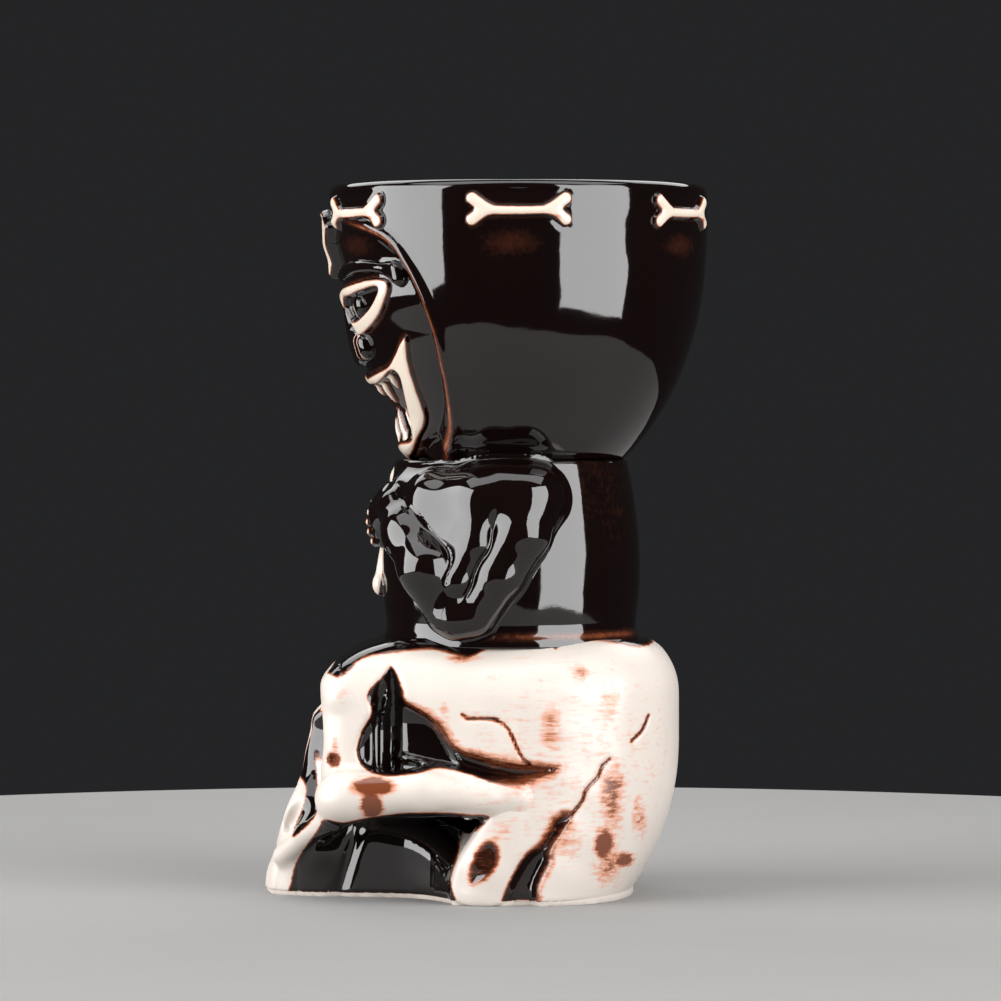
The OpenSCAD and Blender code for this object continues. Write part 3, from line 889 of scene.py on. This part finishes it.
def skull_body(x, y, z):
    """Everything but the cheekbones and mastoids, before it is hollowed and cut into pieces."""
    ax = np.abs(x)
    recess = smooth_max(z - 21.8, y - mastoid_front(z), 3)
    vault = smooth_max(vault_gap(ax, y, z), -recess, 2.5)
    body = smooth_min(vault, jaw_gap(ax, y, z), 2.5)
    brow = capsule(ax, y, z, (4, -38.8, 52.2), (27, -36.6, 51.4), 3.1, 3.3)
    canine = chain(ax, y, z, [((27.5, -38.6, 21), 3.6), ((18.5, -45.2, 16.4), 2.6),
                              ((10.5, -51.8, 10), 2.6)], 2)
    body = smooth_min(smooth_min(body, brow, 3.0), canine, 2.0)
    body = smooth_max(body, -ellipsoid(ax, y, z, ORBIT, ORBIT_RADII, -8), 2.0)
    nostril = ellipsoid(ax, y, z, NOSTRIL, NOSTRIL_RADII, 22)
    groove = capsule(ax, y, z, (17.5, -46.5, 28.5), (9.5, -50.6, 17.5), 4.0, 1.6)
    body = smooth_max(smooth_max(body, -nostril, 1.2), -groove, 1.6)
    temple = smooth_max(loop_distance(TEMPLE, y, z), temple_floor(y, z) - ax, 2.4)
    body = smooth_max(body, -temple, 1.4)
    dents = 3.0 * ramp(0.5, -3.4, loop_distance(GULLY, y, z))
    dents = dents + 0.5 * gauss(crack_gap(y, z), 0.5)
    dents = dents + 1.5 * gauss(np.hypot(y + 38.4, z - 35.7), 1.3)
    dents = dents - 0.12 * np.sin(0.42 * y + 0.2 * z) * np.sin(0.31 * z - 0.12 * y)
    return smooth_max(body + dents * ramp(16, 22, ax), FOOT_LINE - z, 0.8)


def cavity(x, y, z):
    hollow = ellipsoid(x, y, z, (0, 8, 31), (26, 30, 29))
    well = np.maximum(np.hypot(x, y - TORSO_Y) - TORSO_INNER_R, 48 - z)
    return smooth_min(hollow, well, 3.0)


def under_seam(gap):
    """How far a piece is let down where another piece laps over it."""
    return 0.06 * ramp(1.6, 0.2, gap)


def cranium_gap(x, y, z):
    others = np.minimum(np.maximum(face_cut(y, z), 17 - z), jaw_cut(y, z))
    body = skull_body(x, y, z) + under_seam(others)
    return np.maximum(np.maximum(body, -others - 2.5), -cavity(x, y, z))


def face_gap_solid(x, y, z):
    body = skull_body(x, y, z) + under_seam(z - JAW_SEAM_Z)
    return np.maximum(np.maximum(body, face_cut(y, z)), JAW_SEAM_Z - 2 - z)


def jaw_gap_solid(x, y, z):
    return np.maximum(np.maximum(skull_body(x, y, z), jaw_cut(y, z)), -cavity(x, y, z))


def floor_gap(x, y, z):
    body = skull_body(x, y, np.maximum(z, FOOT_LINE + 1.5)) + 0.35
    return np.maximum(np.maximum(body, -z), z - FLOOR_T)


def pooled(gap, soft):
    """Glaze thickness near the edge of a pool, which fades out over twice "soft" millimetres."""
    return np.clip(0.5 - gap / (2 * soft), 0, 1)


def inner_glaze(points):
    """The cavity is glazed dark all over, down to the floor."""
    return ramp(0.5, 0.2, cavity(*points.T)) * ramp(FLOOR_T - 0.5, FLOOR_T - 0.1, points[:, 2])


def skull_glaze(points):
    """Thickness of the dark glaze, which pools in the skull's hollows."""
    x, y, z = points.T
    ax = np.abs(x)
    flank = ramp(16, 20, ax)
    brushed = ramp(-24, -12, y) * ramp(-2.6, 1.4, z - 40 + 0.62 * (y + 10)) + ramp(8, 13, y)
    temple = pooled(loop_distance(TEMPLE, y, z), 0.55 + 3.0 * np.clip(brushed, 0, 1)) * flank
    spot = pooled(loop_distance(SPOT, y, z) - 0.3, 1.2) * flank * 0.72
    gully = loop_distance(GULLY, y, z)
    gully = pooled(gully + 0.5, 0.7 + 1.8 * ramp(8, 16, y)) * flank * 0.93
    crack = pooled(crack_gap(y, z) - 0.46, 0.5) * flank * 0.84
    nasal = pooled(loop_distance(NASAL, y, z), 0.6) * ramp(2.2, 3.6, ax) * ramp(28.5, 26.5, ax)
    nasal = np.maximum(nasal, pooled(ellipsoid(ax, y, z, ORBIT, ORBIT_RADII, -8) - 0.8, 0.6))
    nasal = np.maximum(nasal, pooled(ellipsoid(ax, y, z, NOSTRIL, NOSTRIL_RADII, 22) - 0.5, 0.5))
    under = pooled(loop_distance(UNDER_ARCH, y, z), 0.6) * ramp(6.5, 9, ax)
    wavy = 1.3 * np.sin(0.34 * x + 0.6) + 0.8 * np.sin(0.83 * x)
    brow = pooled(loop_distance(BROW_GLAZE, y, z + wavy * ramp(-34, -40, y) * ramp(34, 26, ax)), 0.8)
    outer = np.maximum.reduce([temple, spot, gully, crack, nasal, under, brow])
    outer = np.where(z < FOOT_LINE + 0.25, 0.0, outer)
    return np.maximum(outer, inner_glaze(points))


def skull_wash(points):
    """Strength of the pink and brown wash brushed over the bare clay."""
    x, y, z = points.T
    wash = np.zeros(len(points))
    for (cy, cz), (ry, rz), strength in WASH:
        wash = np.maximum(wash, strength * np.exp(-(((y - cy) / ry) ** 2 + ((z - cz) / rz) ** 2)))
    return wash * ramp(14, 20, np.abs(x))


def build_skull(look):
    # each as its field, the corners of its box, the size of its mesh cells and what it replaces
    whole = {
        "cranium": (cranium_gap, (-42, -36, 0), (42, 51, 69), 0.70, ["skull_cranium"]),
        "face": (face_gap_solid, (-42, -56, 15), (42, -26, 68), 0.5, ["skull_face"]),
        "upper_jaw": (jaw_gap_solid, (-42, -59, 0), (42, 3, 21), 0.5, ["upper_jaw"]),
        "skull_floor": (floor_gap, (-42, -59, -1.5), (42, 40, FLOOR_T + 1.5), 0.8, ["skull_floor"]),
    }
    for name, (field, low, high, cell, nodes) in whole.items():
        points, faces = mesh_field(field, low, high, cell)
        bare = name == "skull_floor"
        make_piece(f"{name}_visual", points, faces, look, nodes,
                   inner_glaze(points) if bare else skull_glaze(points),
                   skull_wash(points) * ramp(0.5, 1.0, cavity(*points.T)), SKULL_CREASE)
    applied = {
        "cheekbone": (luted(cheek_gap, skull_body, 2.4, 1.6), (19, -46, 16), (44, 13, 38)),
        "mastoid": (luted(mastoid_gap, skull_body, 3.2, 1.6), (24, -9, -1), (42, 15, 30)),
    }
    for name, (field, low, high) in applied.items():
        points, faces = mesh_field(field, low, high, 0.45)
        make_pair(name, points, faces, look, skull_glaze(points), skull_wash(points), SKULL_CREASE)


# ---- materials ----

class Shader:
    """A short way to write a material's nodes."""

    def __init__(self, name):
        self.material = bpy.data.materials.new(name)
        self.material.use_nodes = True
        self.tree = self.material.node_tree
        self.tree.nodes.clear()

    def add(self, kind, settings=None, **inputs):
        node = self.tree.nodes.new(kind)
        for key, value in (settings or {}).items():
            setattr(node, key, value)
        for key, value in inputs.items():
            place = int(key[1:]) if key[1:].isdigit() else key.replace("_", " ")
            socket = node.inputs[place]
            if isinstance(value, bpy.types.NodeSocket):
                self.tree.links.new(value, socket)
            else:
                socket.default_value = value
        return node

    def math(self, operation, *values):
        places = {f"_{index}": value for index, value in enumerate(values)}
        return self.add("ShaderNodeMath", {"operation": operation}, **places).outputs[0]

    def centred(self, value, size):
        """A noise scaled to "size" and moved to vary about 0."""
        return self.math("MULTIPLY_ADD", value, size, -size / 2)

    def stored(self, name):
        return self.add("ShaderNodeAttribute", {"attribute_name": name}).outputs["Fac"]

    def noise(self, scale, detail=3.0, rough=0.55, stretch=(1, 1, 1)):
        place = self.add("ShaderNodeTexCoord").outputs["Object"]
        scaled = self.add("ShaderNodeVectorMath", {"operation": "MULTIPLY"}, _0=place,
                          _1=tuple(scale * k for k in stretch)).outputs[0]
        return self.add("ShaderNodeTexNoise", Vector=scaled, Scale=1.0, Detail=detail,
                        Roughness=rough).outputs[0]

    def colours(self, fraction, stops):
        node = self.add("ShaderNodeValToRGB", Fac=fraction)
        ramp_stops = node.color_ramp.elements
        while len(ramp_stops) < len(stops):
            ramp_stops.new(0.5)
        for element, (place, colour) in zip(ramp_stops, stops):
            element.position = place
            element.color = (*colour, 1)
        return node.outputs[0]

    def between(self, value, low, high, out_low=0.0, out_high=1.0):
        return self.add("ShaderNodeMapRange", _0=value, _1=low, _2=high, _3=out_low,
                        _4=out_high).outputs[0]


NEAR_BLACK = (0.0042, 0.0018, 0.0016)
DEEP_BROWN = (0.030, 0.0085, 0.0045)
RUST = (0.20, 0.052, 0.020)
PEACH = (0.60, 0.27, 0.165)
BLUSH = (0.66, 0.40, 0.32)
CREAM = (0.70, 0.60, 0.50)
IVORY = (0.64, 0.575, 0.52)


def glazed(name, bare, feather=0.30, bare_roughness=0.16, washed=False):
    """The look of clear-glazed clay under a dark glaze, whose thickness is the "glaze" attribute.
    Where it is washed, the "wash" attribute says how heavily it is dry-brushed with thin glaze."""
    shader = Shader(name)
    thick = shader.stored("glaze")
    patchy = shader.noise(650, 4.0, 0.6)
    cloud = shader.noise(120, 2.0, 0.5)
    uneven = shader.centred(patchy, feather)
    broad = shader.centred(cloud, feather / 2)
    amount = shader.math("ADD", thick, shader.math("ADD", uneven, broad))
    if washed:
        brushed = shader.stored("wash")
        streak = shader.noise(1.0, 3.0, 0.65, (500, 170, 1150))
        dabs = shader.noise(330, 3.0, 0.6)
        texture = shader.math("ADD", shader.centred(streak, 1.5), shader.centred(dabs, 0.9))
        worn = shader.math("MULTIPLY", shader.math("ADD", brushed, texture), brushed)
        stain = shader.between(worn, 0.03, 0.55, 0.14, 0.54)
        ragged = shader.centred(streak, 0.5)
        edge = shader.math("MULTIPLY", shader.between(thick, 0.02, 0.3), ragged)
        amount = shader.math("MAXIMUM", shader.math("ADD", amount, edge), stain)
    colour = shader.colours(amount, [(0.0, bare), (0.20, bare), (0.29, BLUSH), (0.37, PEACH),
                                     (0.50, RUST), (0.70, DEEP_BROWN), (0.90, NEAR_BLACK)])
    rough = shader.between(amount, 0.25, 0.8, bare_roughness, 0.05)
    swell = shader.noise(95, 1.0, 0.5)
    grain = shader.noise(900, 2.0, 0.5)
    heights = shader.math("MULTIPLY_ADD", grain, 0.02, swell)
    bump = shader.add("ShaderNodeBump", Strength=0.22, Distance=0.0008, Height=heights).outputs[0]
    body = shader.add("ShaderNodeBsdfPrincipled", Base_Color=colour, Roughness=rough,
                      Normal=bump, IOR=1.65).outputs[0]
    shader.add("ShaderNodeOutputMaterial", Surface=body)
    return name, shader.material


# ---- stage, light and camera ----

def plain_material(name, colour, roughness):
    shader = Shader(name)
    speckle = shader.noise(40, 2.0, 0.5)
    shade = shader.colours(speckle, [(0.3, tuple(c * 0.985 for c in colour)), (0.7, colour)])
    body = shader.add("ShaderNodeBsdfPrincipled", Base_Color=shade, Roughness=roughness).outputs[0]
    shader.add("ShaderNodeOutputMaterial", Surface=body)
    return shader.material


FLOOR_RADIUS = 0.34
FLOOR_DEPTH = 0.02
FLOOR_GREY = (0.28, 0.276, 0.272)


def build_floor():
    """A round table top in plain grey."""
    bpy.ops.mesh.primitive_cylinder_add(vertices=256, radius=FLOOR_RADIUS, depth=FLOOR_DEPTH,
                                        location=(0, 0, -FLOOR_DEPTH / 2))
    floor = bpy.context.object
    floor.name = "floor"
    floor.data.materials.append(plain_material("grey_floor", FLOOR_GREY, 0.9))


def soft_light(name, place, target, width, height, radiance):
    """An even soft box whose brightness doesn't depend on its size."""
    lamp = bpy.data.lights.new(name, "AREA")
    lamp.shape = "RECTANGLE"
    lamp.size, lamp.size_y = width, height
    lamp.energy = radiance * width * height * math.pi
    box = bpy.data.objects.new(name, lamp)
    bpy.context.scene.collection.objects.link(box)
    box.location = place
    away = Vector(target) - Vector(place)
    box.rotation_euler = away.to_track_quat("-Z", "Y").to_euler()


def around(azimuth, elevation, distance, centre):
    """A place seen from the centre at an azimuth from +X towards +Y, in degrees."""
    a, e = math.radians(azimuth), math.radians(elevation)
    return (centre[0] + distance * math.cos(e) * math.cos(a),
            centre[1] + distance * math.cos(e) * math.sin(a),
            centre[2] + distance * math.sin(e))


# Soft boxes, as [name, azimuth, elevation, distance, width, height, radiance]
LIGHTS = [("key_left", -73, 13, 1.1, 1.12, 1.05, 6.2), ("key_right", 47, 10, 1.1, 0.90, 1.1, 6.2),
          ("top", 0, 76, 1.0, 1.7, 0.7, 2.4), ("back_left", -152, 42, 1.3, 0.9, 0.7, 2.6),
          ("back_right", 152, 42, 1.3, 0.9, 0.7, 2.6)]
LIT_CENTRE = (0, 0, 0.11)


def build_lights():
    for name, azimuth, elevation, distance, width, height, radiance in LIGHTS:
        place = around(azimuth, elevation, distance, LIT_CENTRE)
        soft_light(name, place, LIT_CENTRE, width, height, radiance)
    world = bpy.data.worlds.new("studio")
    world.use_nodes = True
    sky = world.node_tree.nodes["Background"].inputs
    sky["Color"].default_value = (0.50, 0.51, 0.54, 1)
    sky["Strength"].default_value = 0.035
    bpy.context.scene.world = world


CAMERA_DISTANCE = 1.310
CAMERA_HEIGHT = 0.130
CAMERA_Y = 0.0033
CAMERA_PITCH = 1.32       # degrees below level
CAMERA_LENS = 184.7


def build_camera():
    lens = bpy.data.cameras.new("camera")
    lens.lens = CAMERA_LENS
    lens.sensor_width = 36
    lens.clip_start, lens.clip_end = 0.05, 50
    camera = bpy.data.objects.new("camera", lens)
    bpy.context.scene.collection.objects.link(camera)
    camera.location = (CAMERA_DISTANCE, CAMERA_Y, CAMERA_HEIGHT)
    camera.rotation_euler = (math.radians(90 - CAMERA_PITCH), 0, math.radians(90))
    bpy.context.scene.camera = camera


dark_glaze = glazed("dark_glaze", CREAM)
cream_relief = glazed("cream_relief", CREAM)
skull_ivory = glazed("skull_ivory", IVORY, 0.26, 0.34, washed=True)

build_head(dark_glaze)
build_rim_bones(cream_relief)
build_face(dark_glaze, cream_relief)
build_plaque(cream_relief)

build_torso(dark_glaze)
build_arms(dark_glaze)
build_held_bone(cream_relief)
build_skull(skull_ivory)

build_floor()
build_lights()
build_camera()
bpy.context.scene.view_settings.view_transform = "Standard"
